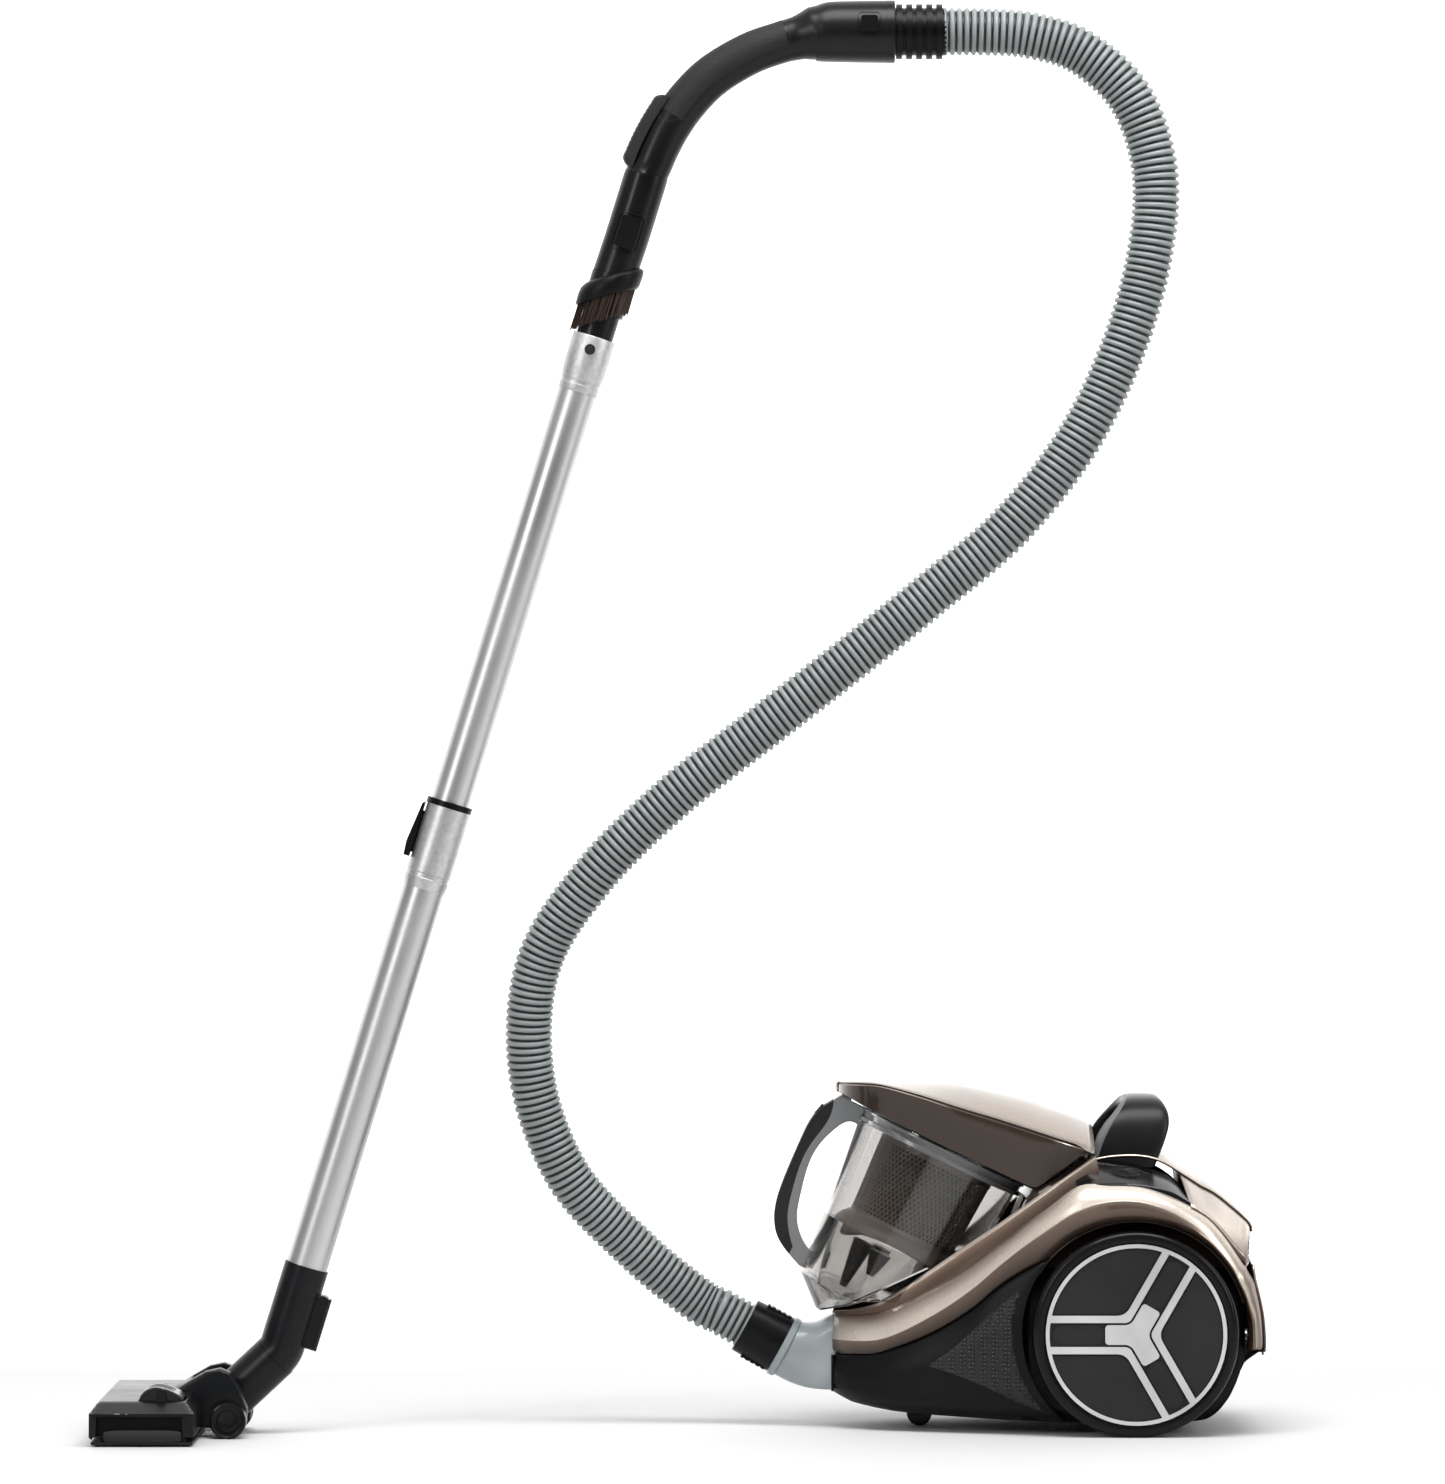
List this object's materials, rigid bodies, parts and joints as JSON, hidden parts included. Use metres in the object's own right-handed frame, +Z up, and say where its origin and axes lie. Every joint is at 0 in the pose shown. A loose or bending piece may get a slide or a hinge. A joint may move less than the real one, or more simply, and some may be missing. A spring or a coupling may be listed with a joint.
{
  "type": "canister vacuum cleaner",
  "caption": "Bagless canister vacuum cleaner with clear cyclonic bin, ribbed hose, bent handle with dusting brush, telescopic wand and floor head.",
  "frame": {"origin": "on the floor, under the middle of the bounding box of everything but the hose and its cuffs", "axes": "+Z up; +X from the floor head towards the canister's rear; the canister's middle plane and the wand are parallel to X-Z"},
  "size_m": [0.9757, 0.3622, 1.2022],
  "materials": {
    "champagne": "metallic champagne paint on moulded plastic",
    "black_shell": "satin black plastic",
    "gloss_black": "gloss",
    "dark_insert": "moulded relief texture",
    "clear_bin": "clear polycarbonate, slightly smoked",
    "grey_mesh": "perforated",
    "brown_plastic": "satin",
    "frosted": "translucent frosted plastic",
    "silver": "light silver paint",
    "tyre": "smooth, slightly glossy",
    "wheel_dark": "fine texture",
    "steel_tube": "satin",
    "steel": "plain",
    "hose_grey": "ribbed flexible plastic",
    "grip": "fine soft-touch grain",
    "bristle": "brown nylon tufts",
    "foam": "open foam",
    "paper": "pleated",
    "motor_metal": "cast",
    "seal": "soft"
  },
  "bodies": {
    "chassis": {"lower_shell": "black_shell", "side_band": "champagne", "side_inserts": "dark_insert", "cradle": "black_shell", "rear_cover": "champagne", "carry_handle": "black_shell", "control_deck": "gloss_black", "motor_can": "motor_metal", "motor_mounts": "seal", "foam_filter": "foam", "exhaust_filter": "paper", "inlet_socket": "frosted", "chassis_axles": "steel"},
    "near_wheel": {"near_wheel_disc": "wheel_dark", "near_wheel_tyre": "tyre", "near_wheel_trim": "silver"},
    "far_wheel": {"far_wheel_disc": "wheel_dark", "far_wheel_tyre": "tyre", "far_wheel_trim": "silver"},
    "caster": {"caster_fork": "black_shell"},
    "caster_roller": {"caster_wheel": "black_shell"},
    "bin": {"bin_cup": "clear_bin", "bin_handle": "clear_bin", "bin_grip": "grip", "mesh_shroud": "grey_mesh", "shroud_skirt": "grey_mesh", "cyclone_cones": "brown_plastic", "lid_seal": "seal"},
    "lid": {"bin_lid": "champagne"},
    "lid_catch": {"lid_release": "gloss_black"},
    "power_key": {"power_button": "gloss_black"},
    "rewind_key": {"rewind_button": "gloss_black"},
    "grille": {"exhaust_grille": "black_shell"},
    "fan": {"impeller": "motor_metal"},
    "drum": {"cord_drum": "black_shell"},
    "hose": {"hose": "hose_grey", "inlet_cuff": "black_shell", "swivel_collar": "black_shell"},
    "upper_tab": {"cuff_tab_upper": "black_shell"},
    "lower_tab": {"cuff_tab_lower": "black_shell"},
    "handle": {"handle": "black_shell", "grip_inlay": "grip"},
    "suction_control": {"suction_slider": "grip"},
    "wand_key": {"wand_lock": "black_shell"},
    "hose_key": {"hose_catch": "black_shell"},
    "brush": {"dust_brush": "black_shell", "bristles": "bristle"},
    "upper_wand": {"upper_tube": "steel_tube", "mouth_collar": "silver"},
    "lower_wand": {"lower_tube": "steel_tube", "clamp_collar": "silver", "clamp_ring": "gloss_black"},
    "clamp_key": {"clamp_slider": "black_shell"},
    "elbow": {"elbow": "black_shell"},
    "neck": {"neck": "gloss_black"},
    "head": {"head_body": "black_shell", "sole_plate": "steel", "head_pins": "steel"},
    "head_rollers": {"head_wheels": "tyre"},
    "pedal": {"brush_pedal": "black_shell"}
  },
  "joints": [
    {"name": "near_wheel_spin", "type": "hinge", "parent": "chassis", "child": "near_wheel", "pos_m": [0.3785, -0.0761, 0.086], "axis": [0, 1, 0], "continuous": true},
    {"name": "far_wheel_spin", "type": "hinge", "parent": "chassis", "child": "far_wheel", "pos_m": [0.3785, 0.1639, 0.086], "axis": [0, 1, 0], "continuous": true},
    {"name": "caster_turn", "type": "hinge", "parent": "chassis", "child": "caster", "pos_m": [0.1865, 0.0439, 0.03], "axis": [0, 0, 1], "continuous": true},
    {"name": "caster_roll", "type": "hinge", "parent": "caster", "child": "caster_roller", "pos_m": [0.2005, 0.0439, 0.0105], "axis": [0, 1, 0], "continuous": true},
    {"name": "bin_lift", "type": "slide", "parent": "chassis", "child": "bin", "axis": [0.4384, 0, 0.8988], "range_m": [0, 0.15]},
    {"name": "lid_hinge", "type": "hinge", "parent": "bin", "child": "lid", "pos_m": [0.14, 0.0439, 0.2845], "axis": [0, -1, 0], "range_deg": [0, 75]},
    {"name": "lid_release_press", "type": "slide", "parent": "bin", "child": "lid_catch", "axis": [0.7431, 0, -0.6691], "range_m": [0, 0.002], "stiffness_N_per_m": 400, "springref_m": -0.0008},
    {"name": "power_press", "type": "slide", "parent": "chassis", "child": "power_key", "axis": [0, 0.3239, -0.9461], "range_m": [0, 0.002], "stiffness_N_per_m": 400, "springref_m": -0.0008},
    {"name": "rewind_press", "type": "slide", "parent": "chassis", "child": "rewind_key", "axis": [0, -0.3239, -0.9461], "range_m": [0, 0.002], "stiffness_N_per_m": 400, "springref_m": -0.0008},
    {"name": "grille_pull", "type": "slide", "parent": "chassis", "child": "grille", "axis": [1, 0, 0], "range_m": [0, 0.04]},
    {"name": "fan_spin", "type": "hinge", "parent": "chassis", "child": "fan", "pos_m": [0.3845, -0.0241, 0.104], "axis": [0, 1, 0], "continuous": true},
    {"name": "drum_spin", "type": "hinge", "parent": "chassis", "child": "drum", "pos_m": [0.3845, 0.0859, 0.096], "axis": [0, 1, 0], "continuous": true},
    {"name": "inlet_swivel", "type": "hinge", "parent": "chassis", "child": "hose", "pos_m": [0.0855, 0.0439, 0.0668], "axis": [-0.8771, 0, 0.4802], "continuous": true},
    {"name": "upper_tab_press", "type": "slide", "parent": "hose", "child": "upper_tab", "axis": [-0.4802, 0, -0.8771], "range_m": [0, 0.0015], "stiffness_N_per_m": 400, "springref_m": -0.0006},
    {"name": "lower_tab_press", "type": "slide", "parent": "hose", "child": "lower_tab", "axis": [0.4802, 0, 0.8771], "range_m": [0, 0.0015], "stiffness_N_per_m": 400, "springref_m": -0.0006},
    {"name": "handle_swivel", "type": "hinge", "parent": "hose", "child": "handle", "pos_m": [0.168, -0.0461, 1.176], "axis": [1, 0, 0], "continuous": true},
    {"name": "suction_slide", "type": "slide", "parent": "handle", "child": "suction_control", "axis": [-0.4695, 0, -0.8829], "range_m": [0, 0.01]},
    {"name": "wand_lock_press", "type": "slide", "parent": "handle", "child": "wand_key", "axis": [0, 1, 0], "range_m": [0, 0.002], "stiffness_N_per_m": 400, "springref_m": -0.0008},
    {"name": "hose_catch_press", "type": "slide", "parent": "handle", "child": "hose_key", "axis": [0, 1, 0], "range_m": [0, 0.0012], "stiffness_N_per_m": 400, "springref_m": -0.00048},
    {"name": "brush_slide", "type": "slide", "parent": "handle", "child": "brush", "axis": [-0.2957, 0, -0.9553], "range_m": [0, 0.024]},
    {"name": "wand_pull", "type": "slide", "parent": "handle", "child": "upper_wand", "axis": [-0.2957, 0, -0.9553], "range_m": [0, 0.04]},
    {"name": "telescope", "type": "slide", "parent": "upper_wand", "child": "lower_wand", "axis": [0.2957, 0, 0.9553], "range_m": [0, 0.35]},
    {"name": "clamp_release", "type": "slide", "parent": "lower_wand", "child": "clamp_key", "axis": [0.2957, 0, 0.9553], "range_m": [0, 0.004], "stiffness_N_per_m": 400, "springref_m": -0.0016},
    {"name": "elbow_pull", "type": "slide", "parent": "lower_wand", "child": "elbow", "axis": [-0.2957, 0, -0.9553], "range_m": [0, 0.04]},
    {"name": "elbow_swivel", "type": "hinge", "parent": "elbow", "child": "neck", "pos_m": [-0.3426, -0.0461, 0.0641], "axis": [0.7314, 0, 0.682], "range_deg": [-90, 90]},
    {"name": "neck_hinge", "type": "hinge", "parent": "neck", "child": "head", "pos_m": [-0.3783, -0.0461, 0.021], "axis": [0, 1, 0], "range_deg": [-30, 30]},
    {"name": "head_wheels_roll", "type": "hinge", "parent": "head", "child": "head_rollers", "pos_m": [-0.3783, -0.0461, 0.0152], "axis": [0, 1, 0], "continuous": true},
    {"name": "pedal_rock", "type": "hinge", "parent": "head", "child": "pedal", "pos_m": [-0.4299, -0.1341, 0.0435], "axis": [0, 1, 0], "range_deg": [-4, 4]}
  ]
}
